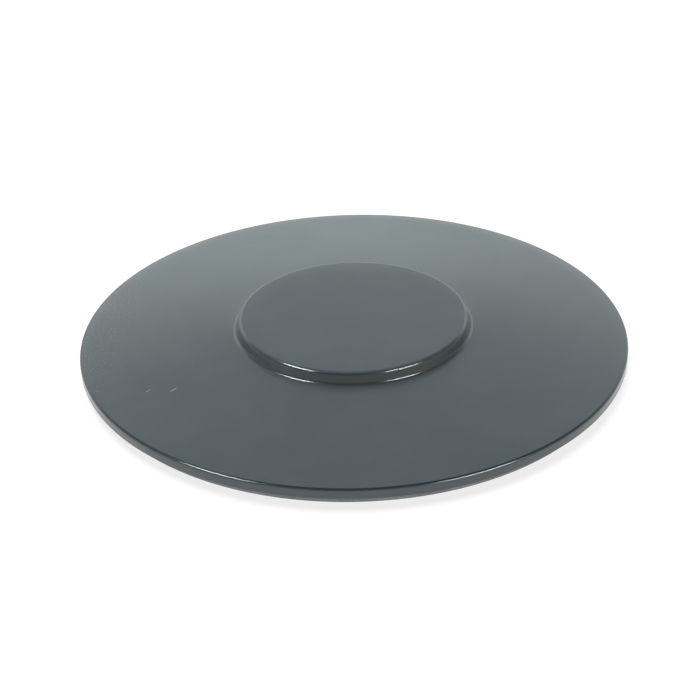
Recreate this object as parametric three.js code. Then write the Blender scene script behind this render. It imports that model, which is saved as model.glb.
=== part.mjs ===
// Sealed manhole cover with its seating frame, in millimetres, +Z up.
// The origin is the centre of the frame's underside, on the surface the frame beds on.
//
// A pressed steel cover plate (raised flat boss, shallow cone, turned-down rim) is stiffened from
// below by radial ribs between a hub ring and a locating ring. It drops over a low frame: a rolled
// upstand bar welded round a flat base flange, with a rubber edge seal pushed onto the upstand.
import * as THREE from "three";

// ---- driving dimensions (mm) ----
const COVER_R = 340; // outside radius of the turned-down rim
const SHEET_T = 2.5; // pressed sheet thickness
const RIM_BOTTOM_Z = 12.0; // lower edge of the rim
const RIM_TOP_Z = 24.2; // top surface where the rim's bend starts
const RIM_BEND_R = 2.8; // outside bend radius of the rim
const CONE_DEG = 2.8; // fall of the flange towards the rim
const BOSS_FLAT_R = 138.4; // radius of the boss's flat top
const BOSS_TOP_Z = 48.5; // flat top of the boss
const BOSS_DRAFT_DEG = 17; // lean of the boss wall from upright
const BOSS_EDGE_R = 5.0; // convex bend round the boss top
const BOSS_FOOT_R = 4.8; // concave bend at the foot of the boss
const WELD_GAP = 0.3; // clearance kept between pieces that are welded or pushed together

const FRAME_OUT_R = 329.5; // outside of the upstand bar
const UPSTAND_T = 6.0; // thickness of the upstand bar
const UPSTAND_H = 15.6; // height of the upstand bar
const CLEAR_R = 300; // clear opening radius, 600 mm across
const FLANGE_T = 8.0; // base flange thickness

const SPIGOT_R = 295; // outside of the locating ring, 5 mm clear of the opening
const SPIGOT_T = 4.0;
const SPIGOT_BOTTOM_Z = 3.0;
const RIB_BOTTOM_Z = 9.5;
const RIB_T = 5.0;
const RIB_COUNT = 8;
const RIB_PHASE_DEG = 22.5;
const HUB_R = 122; // outside of the hub ring under the boss
const HUB_T = 4.0;
const HUB_PLATE_T = 4.0;
const HUB_VENT_R = 20; // drain and vent hole in the hub plate

const SEAL_LEG_T = 2.2; // legs of the edge seal
const SEAL_LEG_Z = 12.6; // lower end of the legs
const SEAL_TOP_Z = 21.9; // crown of the bulb, just under the cover plate

const SEG = 72; // sides of a full circle on the big turned pieces

// ---- materials ----
const paint = new THREE.MeshStandardMaterial({ color: 0x3f484c, roughness: 0.22, metalness: 0.0 });
const primer = new THREE.MeshStandardMaterial({ color: 0x4a5052, roughness: 0.5, metalness: 0.0 });
const zinc = new THREE.MeshStandardMaterial({ color: 0x9da1a3, roughness: 0.45, metalness: 0.6 }); // hot-dip galvanised
const rubber = new THREE.MeshStandardMaterial({ color: 0x161718, roughness: 0.8, metalness: 0.0 });

// ---- helpers ----
// A turned solid from a closed (r, z) outline listed anticlockwise, with r to the right and z up.
function turned(outline, segments = SEG) {
  const points = outline.map(([r, z]) => new THREE.Vector2(r, z));
  const onAxis = outline[0][0] === 0 && outline[outline.length - 1][0] === 0;
  if (!onAxis) points.push(points[0].clone());
  const g = new THREE.LatheGeometry(points, segments);
  g.rotateX(Math.PI / 2); // the lathe turns about +Y
  return g;
}

// Points on an arc from angle a0 to a1 (degrees), ends included.
function arc(cr, cz, radius, a0, a1, steps) {
  const out = [];
  for (let i = 0; i <= steps; i++) {
    const a = THREE.MathUtils.degToRad(a0 + ((a1 - a0) * i) / steps);
    out.push([cr + radius * Math.cos(a), cz + radius * Math.sin(a)]);
  }
  return out;
}

function piece(name, geometry, material) {
  const mesh = new THREE.Mesh(geometry, material);
  mesh.name = name;
  return mesh;
}

// ---- the cover plate's section ----
const slope = Math.tan(THREE.MathUtils.degToRad(CONE_DEG));
const RIM_BEND_CR = COVER_R - RIM_BEND_R;
const coneTop = (r) => RIM_TOP_Z + (RIM_BEND_CR - r) * slope; // top surface of the cone
const coneUnder = (r) => coneTop(r) - SHEET_T / Math.cos(THREE.MathUtils.degToRad(CONE_DEG));

// The boss wall leaves the edge bend at BOSS_DRAFT_DEG from upright and runs straight into the foot
// bend, which is tangent to the cone. Its centre is found by sliding along the wall's direction.
const draft = THREE.MathUtils.degToRad(BOSS_DRAFT_DEG);
const cone = THREE.MathUtils.degToRad(CONE_DEG);
const edgeCr = BOSS_FLAT_R;
const edgeCz = BOSS_TOP_Z - BOSS_EDGE_R;
const reach = BOSS_EDGE_R + BOSS_FOOT_R; // distance between the two bends' centres across the wall
// foot centre = edge centre + reach * wall normal + w * wall direction (down and out)
const footAt = (w) => [
  edgeCr + reach * Math.cos(draft) + w * Math.sin(draft),
  edgeCz + reach * Math.sin(draft) - w * Math.cos(draft),
];
// height of the foot centre above its tangent line to the cone, which must equal BOSS_FOOT_R
const footLift = (w) => {
  const [r, z] = footAt(w);
  return (z - coneTop(r)) * Math.cos(cone);
};
const footStep = footLift(0) - footLift(1); // footLift is linear in w
const wallLength = (footLift(0) - BOSS_FOOT_R) / footStep;
const [footCr, footCz] = footAt(wallLength);
const rimCz = RIM_TOP_Z - RIM_BEND_R * Math.cos(THREE.MathUtils.degToRad(CONE_DEG));

const coverOutline = [
  // underside, from the axis outwards
  [0, BOSS_TOP_Z - SHEET_T],
  ...arc(edgeCr, edgeCz, BOSS_EDGE_R - SHEET_T, 90, BOSS_DRAFT_DEG, 3),
  ...arc(footCr, footCz, BOSS_FOOT_R + SHEET_T, 180 + BOSS_DRAFT_DEG, 270 - CONE_DEG, 4),
  ...arc(RIM_BEND_CR, rimCz, RIM_BEND_R - SHEET_T, 90 - CONE_DEG, 0, 2),
  // lower edge of the rim
  [COVER_R - SHEET_T, RIM_BOTTOM_Z + 0.4],
  [COVER_R - SHEET_T + 0.4, RIM_BOTTOM_Z],
  [COVER_R - 0.6, RIM_BOTTOM_Z],
  [COVER_R, RIM_BOTTOM_Z + 0.6],
  // top surface, from the rim back to the axis
  ...arc(RIM_BEND_CR, rimCz, RIM_BEND_R, 0, 90 - CONE_DEG, 5),
  ...arc(footCr, footCz, BOSS_FOOT_R, 270 - CONE_DEG, 180 + BOSS_DRAFT_DEG, 5),
  ...arc(edgeCr, edgeCz, BOSS_EDGE_R, BOSS_DRAFT_DEG, 90, 5),
  [0, BOSS_TOP_Z],
];

// ---- cover: everything that lifts off ----
const cover = new THREE.Group();
cover.add(piece("cover_plate", turned(coverOutline), paint));

const spigotIn = SPIGOT_R - SPIGOT_T;
cover.add(
  piece(
    "locating_ring",
    turned([
      [spigotIn, SPIGOT_BOTTOM_Z + 0.5],
      [spigotIn + 0.5, SPIGOT_BOTTOM_Z],
      [SPIGOT_R - 1.2, SPIGOT_BOTTOM_Z],
      [SPIGOT_R, SPIGOT_BOTTOM_Z + 2.4], // lead-in for dropping into the opening
      [SPIGOT_R, coneUnder(SPIGOT_R) - WELD_GAP],
      [spigotIn, coneUnder(spigotIn) - WELD_GAP],
    ]),
    primer,
  ),
);

const hubIn = HUB_R - HUB_T;
cover.add(
  piece(
    "hub_ring",
    turned(
      [
        [hubIn, RIB_BOTTOM_Z],
        [HUB_R, RIB_BOTTOM_Z],
        [HUB_R, BOSS_TOP_Z - SHEET_T - WELD_GAP],
        [hubIn, BOSS_TOP_Z - SHEET_T - WELD_GAP],
      ],
      48,
    ),
    primer,
  ),
);

cover.add(
  piece(
    "hub_plate",
    turned(
      [
        [HUB_VENT_R, RIB_BOTTOM_Z],
        [hubIn - WELD_GAP - 0.4, RIB_BOTTOM_Z],
        [hubIn - WELD_GAP - 0.4, RIB_BOTTOM_Z + HUB_PLATE_T],
        [HUB_VENT_R, RIB_BOTTOM_Z + HUB_PLATE_T],
      ],
      48,
    ),
    primer,
  ),
);

// Radial ribs: flat bar on edge, top edge following the underside of the cone, corners snipped at
// the lower outer end. The ends stop short of the rings' walls by the weld gap.
const ribInner = HUB_R + WELD_GAP;
const ribOuter = spigotIn * Math.cos(Math.PI / SEG) - WELD_GAP - 0.1;
const footUnderR = footCr + 2;
const ribProfile = new THREE.Shape();
ribProfile.moveTo(ribInner, RIB_BOTTOM_Z);
ribProfile.lineTo(ribOuter - 6, RIB_BOTTOM_Z);
ribProfile.lineTo(ribOuter, RIB_BOTTOM_Z + 4);
ribProfile.lineTo(ribOuter, coneUnder(ribOuter) - WELD_GAP - 0.1);
ribProfile.lineTo(footUnderR, coneUnder(footUnderR) - WELD_GAP - 0.1);
ribProfile.lineTo(ribInner, coneUnder(footUnderR) - WELD_GAP - 0.1);
ribProfile.closePath();
for (let i = 0; i < RIB_COUNT; i++) {
  const g = new THREE.ExtrudeGeometry(ribProfile, { depth: RIB_T, bevelEnabled: false, steps: 1 });
  g.translate(0, 0, -RIB_T / 2);
  g.rotateX(Math.PI / 2); // profile in the X-Z plane, thickness along Y
  const rib = piece("rib_" + (i + 1), g, primer);
  rib.rotation.z = THREE.MathUtils.degToRad(RIB_PHASE_DEG + (360 / RIB_COUNT) * i);
  cover.add(rib);
}

// ---- frame: everything that stays down ----
const frame = new THREE.Group();
const upIn = FRAME_OUT_R - UPSTAND_T;
frame.add(
  piece(
    "frame_upstand",
    turned([
      [upIn, 0],
      [FRAME_OUT_R - 0.8, 0],
      [FRAME_OUT_R, 0.8],
      [FRAME_OUT_R, UPSTAND_H - 0.6],
      [FRAME_OUT_R - 0.6, UPSTAND_H],
      [upIn + 0.6, UPSTAND_H],
      [upIn, UPSTAND_H - 0.6],
    ]),
    zinc,
  ),
);
frame.add(
  piece(
    "frame_base_flange",
    turned([
      [CLEAR_R, 0.6],
      [CLEAR_R + 0.6, 0],
      [upIn - WELD_GAP - 0.35, 0],
      [upIn - WELD_GAP - 0.35, FLANGE_T],
      [CLEAR_R + 0.6, FLANGE_T],
      [CLEAR_R, FLANGE_T - 0.6],
    ]),
    zinc,
  ),
);

// Edge seal: two legs that grip the upstand and a round bulb that the cover plate lies on.
const legIn = upIn - WELD_GAP;
const legOut = FRAME_OUT_R + WELD_GAP;
const bulbR = (legOut - legIn) / 2 + 0.4;
const bulbC = (legIn + legOut) / 2;
const bridgeZ = UPSTAND_H + WELD_GAP;
const bulbBase = 17.6;
frame.add(
  piece(
    "edge_seal",
    turned([
      [legIn - SEAL_LEG_T, SEAL_LEG_Z + 0.8],
      [legIn - 0.3, SEAL_LEG_Z],
      [legIn, SEAL_LEG_Z + 0.5],
      [legIn, bridgeZ],
      [legOut, bridgeZ],
      [legOut, SEAL_LEG_Z + 0.5],
      [legOut + 0.3, SEAL_LEG_Z],
      [legOut + SEAL_LEG_T, SEAL_LEG_Z + 0.8],
      [legOut + SEAL_LEG_T, bulbBase],
      [bulbC + bulbR, bulbBase + 1.0],
      [bulbC + bulbR * 0.72, SEAL_TOP_Z - 0.9],
      [bulbC, SEAL_TOP_Z],
      [bulbC - bulbR * 0.72, SEAL_TOP_Z - 0.9],
      [bulbC - bulbR, bulbBase + 1.0],
      [legIn - SEAL_LEG_T, bulbBase],
    ]),
    rubber,
  ),
);

const part = new THREE.Group();
part.add(frame, cover);

export default part;
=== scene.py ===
import math
import random

import bmesh
import bpy
from mathutils import Matrix, Vector


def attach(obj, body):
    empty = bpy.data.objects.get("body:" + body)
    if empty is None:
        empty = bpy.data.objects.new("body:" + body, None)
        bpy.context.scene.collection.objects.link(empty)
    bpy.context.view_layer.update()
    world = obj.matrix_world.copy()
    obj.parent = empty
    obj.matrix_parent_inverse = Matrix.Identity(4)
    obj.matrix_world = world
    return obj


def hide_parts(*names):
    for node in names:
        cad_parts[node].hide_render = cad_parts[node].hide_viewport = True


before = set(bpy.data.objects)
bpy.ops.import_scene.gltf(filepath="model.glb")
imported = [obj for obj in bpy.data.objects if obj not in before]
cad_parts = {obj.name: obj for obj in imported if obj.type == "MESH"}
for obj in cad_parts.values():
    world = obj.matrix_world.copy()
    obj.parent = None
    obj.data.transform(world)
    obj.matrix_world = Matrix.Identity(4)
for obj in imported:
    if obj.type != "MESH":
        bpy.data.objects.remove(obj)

random.seed(7)


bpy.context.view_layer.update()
scene = bpy.context.scene
coll = scene.collection

# ------------------------------------------------------------------ sizes (metres), the same as the CAD
R = 0.340            # rim, outside
T = 0.0025           # sheet
RIM_BOT = 0.0120
RIM_TOP = 0.0242
RIM_BEND = 0.0028
CONE = math.radians(2.8)
FLAT_R = 0.1384
TOP_Z = 0.0485
DRAFT = math.radians(17)
EDGE_R = 0.0050
FOOT_R = 0.0048

# ------------------------------------------------------------------ camera
D, ELEV, ROLL, F_PX = 5.503 * R, math.radians(30.37), math.radians(-1.51), 1482.0
TX, TY = -0.0026, -0.0020
pos = Vector((0, -D * math.cos(ELEV), D * math.sin(ELEV)))
fwd = -pos.normalized()
right = Vector((1, 0, 0))
up = right.cross(fwd)
fwd2 = (fwd + right * TX + up * TY).normalized()
right2 = fwd2.cross(Vector((0, 0, 1))).normalized()
up2 = right2.cross(fwd2)
r3 = right2 * math.cos(ROLL) + up2 * math.sin(ROLL)
u3 = -right2 * math.sin(ROLL) + up2 * math.cos(ROLL)
cam_data = bpy.data.cameras.new("camera")
cam_data.sensor_width = 36.0
cam_data.lens = F_PX / 700.0 * 36.0
cam_data.clip_start = 0.01
cam_data.clip_end = 100
cam = bpy.data.objects.new("camera", cam_data)
coll.objects.link(cam)
m = Matrix.Identity(4)
for i in range(3):
    m[i][0], m[i][1], m[i][2], m[i][3] = r3[i], u3[i], -fwd2[i], pos[i]
cam.matrix_world = m
scene.camera = cam

scene.view_settings.view_transform = "Standard"
scene.view_settings.look = "None"
scene.view_settings.exposure = 0.0
scene.view_settings.gamma = 1.0


# ------------------------------------------------------------------ node helpers
def new_material(name):
    mat = bpy.data.materials.new(name)
    mat.use_nodes = True
    nt = mat.node_tree
    bsdf = nt.nodes["Principled BSDF"]
    return mat, nt, bsdf


def add(nt, kind, **values):
    n = nt.nodes.new(kind)
    for k, v in values.items():
        setattr(n, k, v)
    return n


def ramp(nt, fac, stops, interpolation="LINEAR"):
    n = nt.nodes.new("ShaderNodeValToRGB")
    n.color_ramp.interpolation = interpolation
    while len(n.color_ramp.elements) > 1:
        n.color_ramp.elements.remove(n.color_ramp.elements[-1])
    first = True
    for p, c in stops:
        if first:
            e = n.color_ramp.elements[0]
            e.position = p
            first = False
        else:
            e = n.color_ramp.elements.new(p)
        e.color = (c[0], c[1], c[2], 1) if hasattr(c, "__len__") else (c, c, c, 1)
    nt.links.new(fac, n.inputs["Fac"])
    return n.outputs["Color"]


def mix_rgb(nt, fac, a, b, blend="MIX"):
    n = nt.nodes.new("ShaderNodeMix")
    n.data_type = "RGBA"
    n.blend_type = blend
    if hasattr(fac, "is_output"):
        nt.links.new(fac, n.inputs[0])
    else:
        n.inputs[0].default_value = fac
    for socket, v in ((n.inputs[6], a), (n.inputs[7], b)):
        if hasattr(v, "is_output"):
            nt.links.new(v, socket)
        else:
            socket.default_value = (v[0], v[1], v[2], 1)
    return n.outputs[2]


def math_node(nt, op, a, b=None, clamp=False):
    n = nt.nodes.new("ShaderNodeMath")
    n.operation = op
    n.use_clamp = clamp
    for i, v in enumerate((a, b)):
        if v is None:
            continue
        if hasattr(v, "is_output"):
            nt.links.new(v, n.inputs[i])
        else:
            n.inputs[i].default_value = v
    return n.outputs[0]


def coords(nt):
    return nt.nodes.new("ShaderNodeTexCoord").outputs["Object"]


def mapping(nt, vec, loc=(0, 0, 0), rot=(0, 0, 0), scale=(1, 1, 1)):
    n = nt.nodes.new("ShaderNodeMapping")
    n.inputs["Location"].default_value = loc
    n.inputs["Rotation"].default_value = rot
    n.inputs["Scale"].default_value = scale
    nt.links.new(vec, n.inputs["Vector"])
    return n.outputs["Vector"]


def noise(nt, vec, scale, detail=3.0, rough=0.5, distortion=0.0, out="Fac"):
    n = nt.nodes.new("ShaderNodeTexNoise")
    n.inputs["Scale"].default_value = scale
    n.inputs["Detail"].default_value = detail
    n.inputs["Roughness"].default_value = rough
    n.inputs["Distortion"].default_value = distortion
    nt.links.new(vec, n.inputs["Vector"])
    return n.outputs[out]


def bump(nt, height, strength, distance, normal=None):
    n = nt.nodes.new("ShaderNodeBump")
    n.inputs["Strength"].default_value = strength
    n.inputs["Distance"].default_value = distance
    nt.links.new(height, n.inputs["Height"])
    if normal is not None:
        nt.links.new(normal, n.inputs["Normal"])
    return n.outputs["Normal"]


# small marks in the paint: x0, y0, x1, y1, half width (m), strength
SCRATCHES = [(-0.2455, -0.1395, -0.2396, -0.1333, 0.00055, 0.62),
             (-0.2170, -0.1415, -0.2089, -0.1335, 0.00060, 0.85),
             (-0.1795, -0.0925, -0.1783, -0.0905, 0.00080, 0.10),
             (-0.1945, -0.0885, -0.1930, -0.0865, 0.00090, 0.09),
             (-0.2870, -0.0630, -0.2856, -0.0618, 0.00060, 0.16)]


def stroke(nt, xs, ys, x0, y0, x1, y1, half, gain):
    """A tapered mark along the line from (x0, y0) to (x1, y1), as a 0 to 1 mask."""
    cx, cy = (x0 + x1) / 2, (y0 + y1) / 2
    length = math.hypot(x1 - x0, y1 - y0)
    c, s = (x1 - x0) / length, (y1 - y0) / length
    dx = math_node(nt, "SUBTRACT", xs, cx)
    dy = math_node(nt, "SUBTRACT", ys, cy)
    along = math_node(nt, "ABSOLUTE", math_node(nt, "ADD", math_node(nt, "MULTIPLY", dx, c), math_node(nt, "MULTIPLY", dy, s)))
    across = math_node(nt, "ABSOLUTE", math_node(nt, "SUBTRACT", math_node(nt, "MULTIPLY", dy, c), math_node(nt, "MULTIPLY", dx, s)))
    along = math_node(nt, "DIVIDE", along, length / 2)
    across = math_node(nt, "DIVIDE", across, half)
    end = ramp(nt, along, [(0.55, 1.0), (1.0, 0.0)])
    edge = ramp(nt, across, [(0.45, gain), (1.0, 0.0)])
    return math_node(nt, "MULTIPLY", end, edge)


# ------------------------------------------------------------------ materials
def cover_paint():
    mat, nt, b = new_material("cover_paint")
    L = nt.links.new
    co = coords(nt)
    # broad, very faint clouding of the paint
    cloud = noise(nt, co, 5.0, 3.0, 0.55, 0.6)
    fine = noise(nt, co, 60.0, 4.0, 0.6)
    base = ramp(nt, cloud, [(0.30, (0.0652, 0.0798, 0.0888)), (0.72, (0.0722, 0.0876, 0.0964))])
    base = mix_rgb(nt, ramp(nt, fine, [(0.35, 0.0), (0.75, 0.10)]), base, (0.088, 0.102, 0.108))
    mottle = noise(nt, mapping(nt, co, loc=(3.1, 1.7, 0)), 26.0, 3.0, 0.6, 0.8)
    base = mix_rgb(nt, ramp(nt, mottle, [(0.42, 0.0), (0.72, 0.45)]), base, (0.078, 0.0935, 0.098))
    # dust and handling haze: strongest near the rim on the left
    sep = add(nt, "ShaderNodeSeparateXYZ")
    L(co, sep.inputs[0])
    left = math_node(nt, "MULTIPLY", sep.outputs["X"], -1.0)
    edge = ramp(nt, left, [(0.24, 0.0), (0.335, 1.0)])
    specks = noise(nt, mapping(nt, co, scale=(1, 1, 1)), 520.0, 2.0, 0.6)
    dust = math_node(nt, "MULTIPLY", ramp(nt, specks, [(0.58, 0.0), (0.70, 1.0)]), edge)
    dust_all = math_node(nt, "MULTIPLY", ramp(nt, noise(nt, co, 700.0, 1.0, 0.5), [(0.70, 0.0), (0.78, 0.35)]),
                         ramp(nt, noise(nt, co, 9.0, 2.0, 0.5), [(0.45, 0.0), (0.75, 1.0)]))
    dust = math_node(nt, "MAXIMUM", dust, dust_all)
    base = mix_rgb(nt, math_node(nt, "MULTIPLY", dust, 0.24), base, (0.22, 0.24, 0.24))
    marks = None
    for x0, y0, x1, y1, half, gain in SCRATCHES:
        m = stroke(nt, sep.outputs["X"], sep.outputs["Y"], x0, y0, x1, y1, half, gain)
        marks = m if marks is None else math_node(nt, "MAXIMUM", marks, m)
    grit = noise(nt, co, 1500.0, 2.0, 0.6)
    marks = math_node(nt, "MULTIPLY", marks, ramp(nt, grit, [(0.35, 0.55), (0.6, 1.0)]))
    up_face = add(nt, "ShaderNodeSeparateXYZ")
    L(nt.nodes.new("ShaderNodeTexCoord").outputs["Normal"], up_face.inputs[0])
    outer = ramp(nt, math_node(nt, "ADD", math_node(nt, "MULTIPLY", up_face.outputs["Z"], 0.5), 0.5), [(0.40, 0.0), (0.46, 1.0)])
    marks = math_node(nt, "MULTIPLY", marks, outer)
    base = mix_rgb(nt, marks, base, (0.42, 0.44, 0.43))
    # painted reflection: a thin dark line is painted into the paint colour where the flange turns down into the rim,
    # stronger towards the front (-Y), standing in for the dark reflection in the bend
    radius = math_node(nt, "SQRT", math_node(nt, "ADD", math_node(nt, "MULTIPLY", sep.outputs["X"], sep.outputs["X"]),
                                             math_node(nt, "MULTIPLY", sep.outputs["Y"], sep.outputs["Y"])))
    painted_rim_reflection = ramp(nt, math_node(nt, "MULTIPLY", math_node(nt, "SUBTRACT", radius, 0.330), 100.0),
                [(0.66, 0.0), (0.73, 1.0), (0.88, 1.0), (0.95, 0.0)])
    # strength of the painted reflection line: weaker at the sides, stronger towards the front (-Y)
    rim_reflection_front_weight = ramp(nt, math_node(nt, "MULTIPLY", sep.outputs["Y"], -1.0), [(0.19, 0.38), (0.29, 0.74)])
    painted_rim_reflection = math_node(nt, "MULTIPLY", math_node(nt, "MULTIPLY", painted_rim_reflection, outer), rim_reflection_front_weight)
    base = mix_rgb(nt, painted_rim_reflection, base, (0.008, 0.012, 0.014))
    base = mix_rgb(nt, outer, (0.060, 0.066, 0.068), base)
    L(base, b.inputs["Base Color"])
    rough_field = ramp(nt, noise(nt, co, 11.0, 4.0, 0.6, 0.8), [(0.3, 0.13), (0.7, 0.19)])
    streak = noise(nt, mapping(nt, co, rot=(0, 0, 0.5), scale=(2.5, 60, 1)), 3.0, 3.0, 0.6)
    rough_field = math_node(nt, "ADD", rough_field, ramp(nt, streak, [(0.52, 0.0), (0.8, 0.06)]))
    rough_field = math_node(nt, "ADD", rough_field, math_node(nt, "MULTIPLY", dust, 0.25))
    rough_field = math_node(nt, "ADD", rough_field, math_node(nt, "MULTIPLY", marks, 0.3))
    rough_field = math_node(nt, "ADD", rough_field, math_node(nt, "MULTIPLY", math_node(nt, "SUBTRACT", 1.0, outer), 0.26), clamp=True)
    L(rough_field, b.inputs["Roughness"])
    # orange peel in the paint and the slight waviness of pressed sheet
    n1 = bump(nt, noise(nt, co, 260.0, 2.0, 0.5), 0.09, 0.00006)
    n2 = bump(nt, noise(nt, co, 7.0, 1.0, 0.4), 0.35, 0.0010, n1)
    L(n2, b.inputs["Normal"])
    b.inputs["IOR"].default_value = 1.52
    b.inputs["Metallic"].default_value = 0.0
    return mat


def primer(name, base_a, base_b, r0=0.38, r1=0.58, peel=0.3):
    mat, nt, b = new_material(name)
    L = nt.links.new
    co = coords(nt)
    cloud = noise(nt, co, 14.0, 4.0, 0.6, 0.4)
    base = ramp(nt, cloud, [(0.3, base_a), (0.7, base_b)])
    runs = noise(nt, mapping(nt, co, scale=(1, 1, 0.15)), 120.0, 3.0, 0.6)
    base = mix_rgb(nt, ramp(nt, runs, [(0.58, 0.0), (0.78, 0.12)]), base, (0.11, 0.12, 0.122))
    # worn corners show bare steel
    geo = nt.nodes.new("ShaderNodeNewGeometry")
    wear = math_node(nt, "MULTIPLY", ramp(nt, geo.outputs["Pointiness"], [(0.56, 0.0), (0.64, 1.0)]),
                     ramp(nt, noise(nt, co, 140.0, 4.0, 0.7), [(0.52, 0.0), (0.66, 1.0)]))
    base = mix_rgb(nt, math_node(nt, "MULTIPLY", wear, 0.35), base, (0.24, 0.235, 0.23))
    L(base, b.inputs["Base Color"])
    L(ramp(nt, noise(nt, co, 45.0, 3.0, 0.6), [(0.3, r0), (0.7, r1)]), b.inputs["Roughness"])
    n1 = bump(nt, noise(nt, co, 320.0, 3.0, 0.6), peel, 0.00012)
    n2 = bump(nt, noise(nt, co, 24.0, 2.0, 0.5), 0.3, 0.0004, n1)
    L(n2, b.inputs["Normal"])
    b.inputs["IOR"].default_value = 1.5
    return mat


def rubber():
    mat, nt, b = new_material("seal_rubber")
    L = nt.links.new
    co = coords(nt)
    base = ramp(nt, noise(nt, co, 35.0, 4.0, 0.6), [(0.3, (0.012, 0.0122, 0.013)), (0.7, (0.024, 0.0245, 0.025))])
    bloom = noise(nt, co, 240.0, 3.0, 0.7)
    base = mix_rgb(nt, ramp(nt, bloom, [(0.6, 0.0), (0.8, 0.35)]), base, (0.10, 0.10, 0.098))
    L(base, b.inputs["Base Color"])
    L(ramp(nt, noise(nt, co, 80.0, 3.0, 0.6), [(0.3, 0.55), (0.7, 0.78)]), b.inputs["Roughness"])
    L(bump(nt, noise(nt, co, 900.0, 2.0, 0.5), 0.3, 0.00008), b.inputs["Normal"])
    b.inputs["IOR"].default_value = 1.5
    b.inputs["Specular IOR Level"].default_value = 0.35
    return mat


def weld_metal():
    mat, nt, b = new_material("weld_bead")
    L = nt.links.new
    co = coords(nt)
    base = ramp(nt, noise(nt, co, 160.0, 4.0, 0.6), [(0.3, (0.050, 0.056, 0.058)), (0.7, (0.085, 0.092, 0.094))])
    L(base, b.inputs["Base Color"])
    L(ramp(nt, noise(nt, co, 70.0, 3.0, 0.6), [(0.3, 0.40), (0.7, 0.60)]), b.inputs["Roughness"])
    L(bump(nt, noise(nt, co, 600.0, 3.0, 0.6), 0.3, 0.0002), b.inputs["Normal"])
    return mat


def galvanised():
    """Hot-dip zinc: mid-grey crystals of slightly different brightness, dull and a little stained."""
    mat, nt, b = new_material("frame_zinc")
    L = nt.links.new
    co = coords(nt)
    cells = nt.nodes.new("ShaderNodeTexVoronoi")
    cells.inputs["Scale"].default_value = 95.0
    L(co, cells.inputs["Vector"])
    grey = nt.nodes.new("ShaderNodeRGBToBW")
    L(cells.outputs["Color"], grey.inputs[0])
    base = ramp(nt, grey.outputs[0], [(0.2, (0.205, 0.214, 0.218)), (0.8, (0.262, 0.272, 0.276))])
    stain = noise(nt, co, 16.0, 5.0, 0.65, 0.5)
    base = mix_rgb(nt, ramp(nt, stain, [(0.5, 0.0), (0.75, 0.55)]), base, (0.155, 0.163, 0.160))
    L(base, b.inputs["Base Color"])
    rough = math_node(nt, "ADD", ramp(nt, grey.outputs[0], [(0.2, 0.36), (0.8, 0.46)]),
                      ramp(nt, stain, [(0.4, 0.0), (0.8, 0.18)]), clamp=True)
    L(rough, b.inputs["Roughness"])
    b.inputs["Metallic"].default_value = 0.25
    n1 = bump(nt, noise(nt, co, 280.0, 3.0, 0.6), 0.25, 0.0001)
    L(bump(nt, noise(nt, co, 30.0, 2.0, 0.5), 0.3, 0.0004, n1), b.inputs["Normal"])
    return mat


MAT_COVER = cover_paint()
MAT_PRIMER = primer("underside_primer", (0.052, 0.058, 0.060), (0.068, 0.075, 0.077))
MAT_FRAME = galvanised()
MAT_RUBBER = rubber()
MAT_WELD = weld_metal()


# ------------------------------------------------------------------ mesh helpers
def arc(cr, cz, radius, a0, a1, steps):
    out = []
    for i in range(steps + 1):
        a = math.radians(a0 + (a1 - a0) * i / steps)
        out.append((cr + radius * math.cos(a), cz + radius * math.sin(a)))
    return out


def line(p, q, steps):
    return [(p[0] + (q[0] - p[0]) * i / steps, p[1] + (q[1] - p[1]) * i / steps) for i in range(1, steps)]


def turned(name, outline, segments, closed=True, smooth_deg=35, warp=None):
    """A closed turned mesh from an (r, z) outline; r = 0 at both ends closes on the axis."""
    bm = bmesh.new()
    axis_ends = outline[0][0] == 0 and outline[-1][0] == 0
    rings = []
    for r, z in outline:
        if r == 0:
            rings.append([bm.verts.new((0, 0, z))])
        else:
            ring = []
            for k in range(segments):
                a = 2 * math.pi * k / segments
                zz = z if warp is None else z + warp(r, a, z)
                ring.append(bm.verts.new((r * math.cos(a), r * math.sin(a), zz)))
            rings.append(ring)
    pairs = list(zip(rings[:-1], rings[1:]))
    if not axis_ends:
        pairs.append((rings[-1], rings[0]))
    for a, b in pairs:
        for k in range(segments):
            j = (k + 1) % segments
            if len(a) == 1:
                bm.faces.new((a[0], b[j], b[k]))
            elif len(b) == 1:
                bm.faces.new((a[k], a[j], b[0]))
            else:
                bm.faces.new((a[k], a[j], b[j], b[k]))
    bmesh.ops.recalc_face_normals(bm, faces=bm.faces)
    me = bpy.data.meshes.new(name)
    bm.to_mesh(me)
    bm.free()
    ob = bpy.data.objects.new(name, me)
    coll.objects.link(ob)
    for p in me.polygons:
        p.use_smooth = True
    me.set_sharp_from_angle(angle=math.radians(smooth_deg))
    return ob


# ------------------------------------------------------------------ the cover plate
slope = math.tan(CONE)
RIM_CR = R - RIM_BEND


def cone_top(r):
    return RIM_TOP + (RIM_CR - r) * slope


def cone_under(r):
    return cone_top(r) - T / math.cos(CONE)


EDGE_CR, EDGE_CZ = FLAT_R, TOP_Z - EDGE_R


def foot_at(w):
    reach = EDGE_R + FOOT_R
    return (EDGE_CR + reach * math.cos(DRAFT) + w * math.sin(DRAFT),
            EDGE_CZ + reach * math.sin(DRAFT) - w * math.cos(DRAFT))


def foot_lift(w):
    r, z = foot_at(w)
    return (z - cone_top(r)) * math.cos(CONE)


WALL_LEN = (foot_lift(0) - FOOT_R) / (foot_lift(0) - foot_lift(0.001)) * 0.001
FOOT_CR, FOOT_CZ = foot_at(WALL_LEN)
RIM_CZ = RIM_TOP - RIM_BEND * math.cos(CONE)

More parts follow.
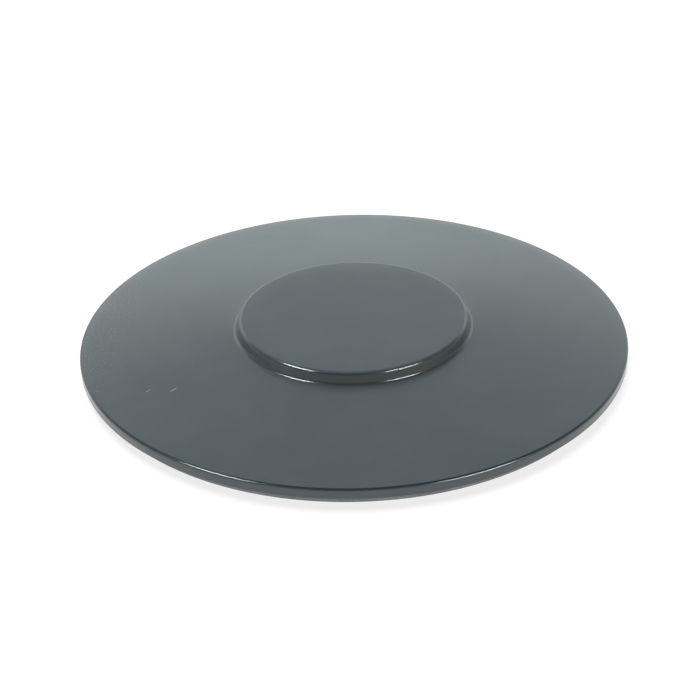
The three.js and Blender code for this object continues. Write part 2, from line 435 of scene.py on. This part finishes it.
under = [(0, TOP_Z - T)]
under += line((0, TOP_Z - T), (EDGE_CR, TOP_Z - T), 4)
DRAFT_D = math.degrees(DRAFT)
edge_u = arc(EDGE_CR, EDGE_CZ, EDGE_R - T, 90, DRAFT_D, 8)
foot_u = arc(FOOT_CR, FOOT_CZ, FOOT_R + T, 180 + DRAFT_D, 270 - math.degrees(CONE), 12)
under += edge_u + line(edge_u[-1], foot_u[0], 3) + foot_u
rim_u = arc(RIM_CR, RIM_CZ, RIM_BEND - T, 90 - math.degrees(CONE), 0, 6)
under += line(foot_u[-1], rim_u[0], 6)
under += rim_u
low = [(R - T, RIM_BOT + 0.0004), (R - T + 0.0002, RIM_BOT + 0.0001), (R - T + 0.0005, RIM_BOT),
       (R - 0.0007, RIM_BOT), (R - 0.0002, RIM_BOT + 0.0002), (R, RIM_BOT + 0.0007)]
rim_t = arc(RIM_CR, RIM_CZ, RIM_BEND, 0, 90 - math.degrees(CONE), 14)
foot_t = arc(FOOT_CR, FOOT_CZ, FOOT_R, 270 - math.degrees(CONE), 180 + DRAFT_D, 16)
edge_t = arc(EDGE_CR, EDGE_CZ, EDGE_R, DRAFT_D, 90, 16)
top = rim_t + line(rim_t[-1], foot_t[0], 12) + foot_t + line(foot_t[-1], edge_t[0], 3) + edge_t + line(edge_t[-1], (0, TOP_Z), 6) + [(0, TOP_Z)]
cover = turned("cover_plate_pressing", under + low + top, 600, smooth_deg=60)
cover.data.materials.append(MAT_COVER)
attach(cover, "cover")
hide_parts("cover_plate")



# ------------------------------------------------------------------ everything under the cover plate
def rounded(outline, radius, steps=3):
    """The same closed (r, z) outline with each corner rounded; radius is one value or one per corner."""
    out = []
    n = len(outline)
    for i, p in enumerate(outline):
        rad = radius[i] if hasattr(radius, "__len__") else radius
        p0, p1 = Vector(outline[i - 1]), Vector(outline[(i + 1) % n])
        p = Vector(p)
        a, b = (p0 - p), (p1 - p)
        la, lb = a.length, b.length
        a.normalize()
        b.normalize()
        half = math.acos(max(-1.0, min(1.0, a.dot(b)))) / 2
        if rad <= 0 or half > math.radians(88):
            out.append((p.x, p.y))
            continue
        cut = min(rad / math.tan(half), la * 0.45, lb * 0.45)
        q0, q1 = p + a * cut, p + b * cut
        for k in range(steps + 1):
            t = k / steps
            q = q0 * (1 - t) ** 2 + p * 2 * t * (1 - t) + q1 * t * t
            out.append((q.x, q.y))
    return out


def finish_piece(ob, material, body, slot, *nodes):
    ob.data.materials.clear()
    ob.data.materials.append(material)
    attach(ob, body)
    if nodes:
        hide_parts(*nodes)
    return ob


def mm(points):
    return [(r / 1000, z / 1000) for r, z in points]


under_mm = lambda r: cone_under(r / 1000) * 1000
finish_piece(turned("locating_ring_rolled", rounded(mm([
    (291, 3.0), (293.8, 3.0), (295, 5.4), (295, under_mm(295) - 0.3), (291, under_mm(291) - 0.3)]), 0.0005), 288),
    MAT_PRIMER, "cover", "underside_primer", "locating_ring")
finish_piece(turned("hub_ring_rolled", rounded(mm([(118, 9.5), (122, 9.5), (122, 45.7), (118, 45.7)]), 0.0005), 180),
             MAT_PRIMER, "cover", "underside_primer", "hub_ring")
finish_piece(turned("hub_plate_disc", rounded(mm([(20, 9.5), (117.3, 9.5), (117.3, 13.5), (20, 13.5)]), 0.0006), 180),
             MAT_PRIMER, "cover", "underside_primer", "hub_plate")

# radial ribs: flat bar on edge with its arrises taken off and a drain notch at the outer lower corner
FOOT_UNDER = FOOT_CR * 1000 + 2
rib_profile = [(122.3, 9.5), (284.3, 9.5), (290.5, 13.5), (290.5, under_mm(290.5) - 0.4),
               (FOOT_UNDER, under_mm(FOOT_UNDER) - 0.4), (122.3, under_mm(FOOT_UNDER) - 0.4)]


def rib_bar(name, angle):
    bm = bmesh.new()
    sides = []
    for y in (-0.0025, 0.0025):
        sides.append([bm.verts.new((r / 1000, y, z / 1000)) for r, z in rib_profile])
    n = len(rib_profile)
    bm.faces.new(list(reversed(sides[0])))
    bm.faces.new(sides[1])
    for i in range(n):
        j = (i + 1) % n
        bm.faces.new((sides[0][i], sides[0][j], sides[1][j], sides[1][i]))
    bmesh.ops.recalc_face_normals(bm, faces=bm.faces)
    bmesh.ops.bevel(bm, geom=list(bm.edges), offset=0.0005, segments=2, profile=0.5, affect="EDGES")
    bmesh.ops.rotate(bm, verts=bm.verts, cent=(0, 0, 0), matrix=Matrix.Rotation(angle, 3, "Z"))
    me = bpy.data.meshes.new(name)
    bm.to_mesh(me)
    bm.free()
    ob = bpy.data.objects.new(name, me)
    coll.objects.link(ob)
    for p in me.polygons:
        p.use_smooth = True
    me.set_sharp_from_angle(angle=math.radians(32))
    return ob


RIB_ANGLES = [math.radians(22.5 + 45 * i) for i in range(8)]
for i, angle in enumerate(RIB_ANGLES):
    finish_piece(rib_bar(f"rib_bar_{i + 1}", angle), MAT_PRIMER, "cover", "underside_primer", f"rib_{i + 1}")

# ------------------------------------------------------------------ frame and seal
finish_piece(turned("frame_upstand_bar", rounded(mm([
    (323.5, 0), (328.7, 0), (329.5, 0.8), (329.5, 15.0), (328.9, 15.6), (324.1, 15.6), (323.5, 15.0)]), 0.0006), 360),
    MAT_FRAME, "frame", "frame_zinc", "frame_upstand")
finish_piece(turned("frame_base_ring", rounded(mm([
    (300, 0.6), (300.6, 0), (322.85, 0), (322.85, 8), (300.6, 8), (300, 7.4)]), 0.0006), 288),
    MAT_FRAME, "frame", "frame_zinc", "frame_base_flange")

LEG_IN, LEG_OUT = 323.2, 329.8
BULB_C, BULB_R = (LEG_IN + LEG_OUT) / 2, (LEG_OUT - LEG_IN) / 2 + 0.4
bulb = []
for k in range(15):
    t = math.radians(k * 180 / 14)
    bulb.append((BULB_C + BULB_R * math.cos(t), 18.6 + (21.9 - 18.6) * math.sin(t)))
seal_outline = mm([(LEG_IN - 2.2, 13.4), (LEG_IN - 1.7, 12.8), (LEG_IN - 0.8, 12.6), (LEG_IN - 0.2, 12.75), (LEG_IN, 13.1),
                   (LEG_IN, 15.9), (LEG_OUT, 15.9), (LEG_OUT, 13.1), (LEG_OUT + 0.2, 12.75), (LEG_OUT + 0.8, 12.6),
                   (LEG_OUT + 1.7, 12.8), (LEG_OUT + 2.2, 13.4), (LEG_OUT + 2.2, 17.0), (LEG_OUT + 1.9, 17.7)]
                  + bulb + [(LEG_IN - 1.9, 17.7), (LEG_IN - 2.2, 17.0)])
finish_piece(turned("edge_seal_profile", seal_outline, 360, smooth_deg=50), MAT_RUBBER, "frame", "seal_rubber", "edge_seal")


# ------------------------------------------------------------------ weld beads
def bead(name, centres, e1s, e2s, radius, period, closed, material, body, slot, sides=8, seed=1):
    """A rippled weld bead swept along the centres; e1 and e2 span its section."""
    rng = random.Random(seed)
    bm = bmesh.new()
    rings = []
    run = 0.0
    count = len(centres)
    wander = [rng.uniform(-1, 1) for _ in range(64)]
    for i, c in enumerate(centres):
        if i:
            run += (c - centres[i - 1]).length
        phase = (run / period) % 1.0
        ripple = 1.0 + 0.13 * (1 - phase) - 0.05
        k = run / (period * 5)
        f = k - math.floor(k)
        w = wander[int(k) % 64] * (1 - f) + wander[(int(k) + 1) % 64] * f
        if closed:
            edge = min(i, count - i) / 40
            w *= min(1.0, edge)
        rad = radius * (ripple + 0.07 * w)
        if not closed:
            rad *= min(1.0, 0.35 + 0.65 * min(i, count - 1 - i) / 5)
        ring = []
        for j in range(sides):
            a = 2 * math.pi * j / sides
            ring.append(bm.verts.new(c + e1s[i] * (rad * math.cos(a)) + e2s[i] * (rad * math.sin(a))))
        rings.append(ring)
    pairs = list(zip(rings[:-1], rings[1:]))
    if closed:
        pairs.append((rings[-1], rings[0]))
    for a, b in pairs:
        for j in range(sides):
            k = (j + 1) % sides
            bm.faces.new((a[j], a[k], b[k], b[j]))
    if not closed:
        bm.faces.new(list(reversed(rings[0])))
        bm.faces.new(rings[-1])
    bmesh.ops.recalc_face_normals(bm, faces=bm.faces)
    me = bpy.data.meshes.new(name)
    bm.to_mesh(me)
    bm.free()
    for p in me.polygons:
        p.use_smooth = True
    ob = bpy.data.objects.new(name, me)
    coll.objects.link(ob)
    return finish_piece(ob, material, body, slot)


def ring_bead(name, r, z, radius, period, material, body, slot, seed):
    r, z, radius, period = r / 1000, z / 1000, radius / 1000, period / 1000
    ripples = max(8, round(2 * math.pi * r / period))
    n = ripples * 4
    cs, e1, e2 = [], [], []
    for i in range(n):
        a = 2 * math.pi * i / n
        cs.append(Vector((r * math.cos(a), r * math.sin(a), z)))
        e1.append(Vector((math.cos(a), math.sin(a), 0)))
        e2.append(Vector((0, 0, 1)))
    return bead(name, cs, e1, e2, radius, 2 * math.pi * r / ripples, True, material, body, slot, seed=seed)


def straight_bead(name, p, q, radius, period, material, body, slot, seed):
    p, q = Vector(p) / 1000, Vector(q) / 1000
    d = (q - p).normalized()
    side_v = d.cross(Vector((0, 0, 1)))
    if side_v.length < 0.2:
        side_v = d.cross(Vector((1, 0, 0)))
    side_v.normalize()
    up_v = side_v.cross(d).normalized()
    n = max(12, round((q - p).length / (period / 1000) * 4))
    cs = [p + (q - p) * (i / n) for i in range(n + 1)]
    return bead(name, cs, [side_v] * (n + 1), [up_v] * (n + 1), radius / 1000, period / 1000, False, material, body, slot, seed=seed)


ring_bead("weld_hub_outer", 122.4, 45.4, 1.9, 3.6, MAT_WELD, "cover", "underside_primer", 11)
ring_bead("weld_hub_plate", 117.7, 9.7, 1.0, 3.0, MAT_WELD, "cover", "underside_primer", 12)
ring_bead("weld_ring_inner", 290.8, under_mm(290.8) - 0.5, 1.8, 3.6, MAT_WELD, "cover", "underside_primer", 13)
ring_bead("weld_ring_outer", 295.2, under_mm(295.2) - 0.5, 1.8, 3.6, MAT_WELD, "cover", "underside_primer", 14)
ring_bead("weld_frame", 323.1, 8.0, 2.0, 3.8, MAT_FRAME, "frame", "frame_zinc", 15)


def around(x, y, z, angle):
    c, s_ = math.cos(angle), math.sin(angle)
    return (x * c - y * s_, x * s_ + y * c, z)


for i, angle in enumerate(RIB_ANGLES):
    for sgn, tag in ((-1, "a"), (1, "b")):
        y = sgn * 2.6
        # upright beads at the rib's two ends
        straight_bead(f"weld_rib_{i + 1}_hub_{tag}", around(122.4, y, 11.5, angle),
                      around(122.4, y, under_mm(FOOT_UNDER) - 1.2, angle), 1.4, 3.2, MAT_WELD, "cover", "underside_primer", 30 + i)
        straight_bead(f"weld_rib_{i + 1}_ring_{tag}", around(290.6, y, 14.5, angle),
                      around(290.6, y, under_mm(290) - 2.0, angle), 1.4, 3.2, MAT_WELD, "cover", "underside_primer", 50 + i)
        # stitches along the cover plate
        for k, (r0, r1) in enumerate(((166, 192), (212, 238), (258, 284))):
            straight_bead(f"weld_rib_{i + 1}_top_{tag}{k + 1}", around(r0, y, under_mm(r0) - 0.5, angle),
                          around(r1, y, under_mm(r1) - 0.5, angle), 1.5, 3.4, MAT_WELD, "cover", "underside_primer", 70 + i * 3 + k)

# ------------------------------------------------------------------ studio
bpy.ops.mesh.primitive_plane_add(size=14, location=(0, 0, -0.0002))
floor = bpy.context.object
floor.name = "floor"
fmat, fnt, fb = new_material("floor_paper")
fco = fnt.nodes.new("ShaderNodeTexCoord").outputs["Object"]
fnt.links.new(ramp(fnt, noise(fnt, fco, 3.0, 2.0, 0.5), [(0.3, (0.27, 0.27, 0.27)), (0.7, (0.29, 0.29, 0.29))]),
              fb.inputs["Base Color"])
fb.inputs["Roughness"].default_value = 0.9
fb.inputs["Specular IOR Level"].default_value = 0.0
fb.inputs["Emission Color"].default_value = (1, 1, 1, 1)
fb.inputs["Emission Strength"].default_value = 0.80
# the sheet can be looked through from underneath, so the underside of the part can be seen
fout = fnt.nodes["Material Output"]
fgeo = fnt.nodes.new("ShaderNodeNewGeometry")
fclear = fnt.nodes.new("ShaderNodeBsdfTransparent")
fmix = fnt.nodes.new("ShaderNodeMixShader")
fnt.links.new(fgeo.outputs["Backfacing"], fmix.inputs[0])
fnt.links.new(fb.outputs[0], fmix.inputs[1])
fnt.links.new(fclear.outputs[0], fmix.inputs[2])
fnt.links.new(fmix.outputs[0], fout.inputs["Surface"])
floor.data.materials.append(fmat)

world = bpy.data.worlds.new("studio")
scene.world = world
world.use_nodes = True
wnt = world.node_tree
bg = wnt.nodes["Background"]
wdir = wnt.nodes.new("ShaderNodeTexCoord").outputs["Generated"]
wsep = wnt.nodes.new("ShaderNodeSeparateXYZ")
wnt.links.new(wdir, wsep.inputs[0])
# sin(elevation) -> brightness, for the half behind the object and the half in front of it
def tint(v):
    return (v * 0.90, v * 1.0, v * 0.96)


x2 = math_node(wnt, "MULTIPLY", wsep.outputs["X"], wsep.outputs["X"])
x2 = math_node(wnt, "MULTIPLY", math_node(wnt, "MINIMUM", x2, 0.11), -1.1)
xx = math_node(wnt, "ADD", x2, math_node(wnt, "MULTIPLY", wsep.outputs["X"], 0.05))
height = math_node(wnt, "ADD", wsep.outputs["Z"], xx)
back = ramp(wnt, height, [(0.0, tint(0.75)), (0.10, tint(0.85)), (0.18, tint(1.20)), (0.25, tint(1.70)), (0.33, tint(1.72)), (0.35, tint(1.51)), (0.37, tint(1.25)),
                          (0.39, tint(1.09)), (0.41, tint(0.97)), (0.43, tint(0.82)), (0.45, tint(0.66)), (0.475, tint(0.52)),
                          (0.50, tint(0.45)), (0.55, tint(0.46)), (0.59, tint(0.33)), (0.62, tint(0.22)), (0.68, tint(0.21)),
                          (0.80, tint(0.16)), (1.0, tint(0.10))])
front = ramp(wnt, wsep.outputs["Z"], [(0.0, tint(0.85)), (0.20, tint(0.75)), (0.27, tint(0.06)), (0.5, tint(0.03)), (1.0, tint(0.06))])
side = ramp(wnt, wsep.outputs["Y"], [(0.42, 0.0), (0.70, 1.0)])
wmix = mix_rgb(wnt, side, front, back)
wnt.links.new(wmix, bg.inputs["Color"])
bg.inputs["Strength"].default_value = 1.0
# what the camera sees beyond the floor is a plain pale backdrop; the light on the part is not changed
backdrop = wnt.nodes.new("ShaderNodeBackground")
backdrop.inputs["Color"].default_value = (1.0, 1.0, 1.0, 1)
wpath = wnt.nodes.new("ShaderNodeLightPath")
wsel = wnt.nodes.new("ShaderNodeMixShader")
wnt.links.new(wpath.outputs["Is Camera Ray"], wsel.inputs[0])
wnt.links.new(bg.outputs[0], wsel.inputs[1])
wnt.links.new(backdrop.outputs[0], wsel.inputs[2])
wnt.links.new(wsel.outputs[0], wnt.nodes["World Output"].inputs["Surface"])


def soft_box(name, azimuth, elevation, dist, w, h, power, color=(1, 1, 1)):
    """A rectangular light aimed at the cover. Azimuth 0 is behind the camera's side (-Y), positive to the right."""
    a, e = math.radians(azimuth), math.radians(elevation)
    p = Vector((math.sin(a) * math.cos(e), -math.cos(a) * math.cos(e), math.sin(e))) * dist
    data = bpy.data.lights.new(name, "AREA")
    data.shape = "RECTANGLE"
    data.size = w
    data.size_y = h
    data.energy = power
    data.color = color
    ob = bpy.data.objects.new(name, data)
    coll.objects.link(ob)
    ob.location = p
    ob.rotation_euler = (-p).to_track_quat("-Z", "Y").to_euler()
    return ob


for ob in (soft_box("soft_left", -66.6, 50, 2.5, 1.00, 0.30, 62), soft_box("soft_right", 46, 28, 2.5, 1.20, 0.30, 62)):
    ob.visible_diffuse = False
key = bpy.data.lights.new("key", "SUN")
key.energy = 3.55
key.angle = math.radians(50)
key_ob = bpy.data.objects.new("key", key)
coll.objects.link(key_ob)
key_ob.location = (-1.0, 1.8, 3.2)
key_ob.rotation_euler = Vector((0.14, -0.38, -0.91)).to_track_quat("-Z", "Y").to_euler()
key_ob.visible_glossy = False
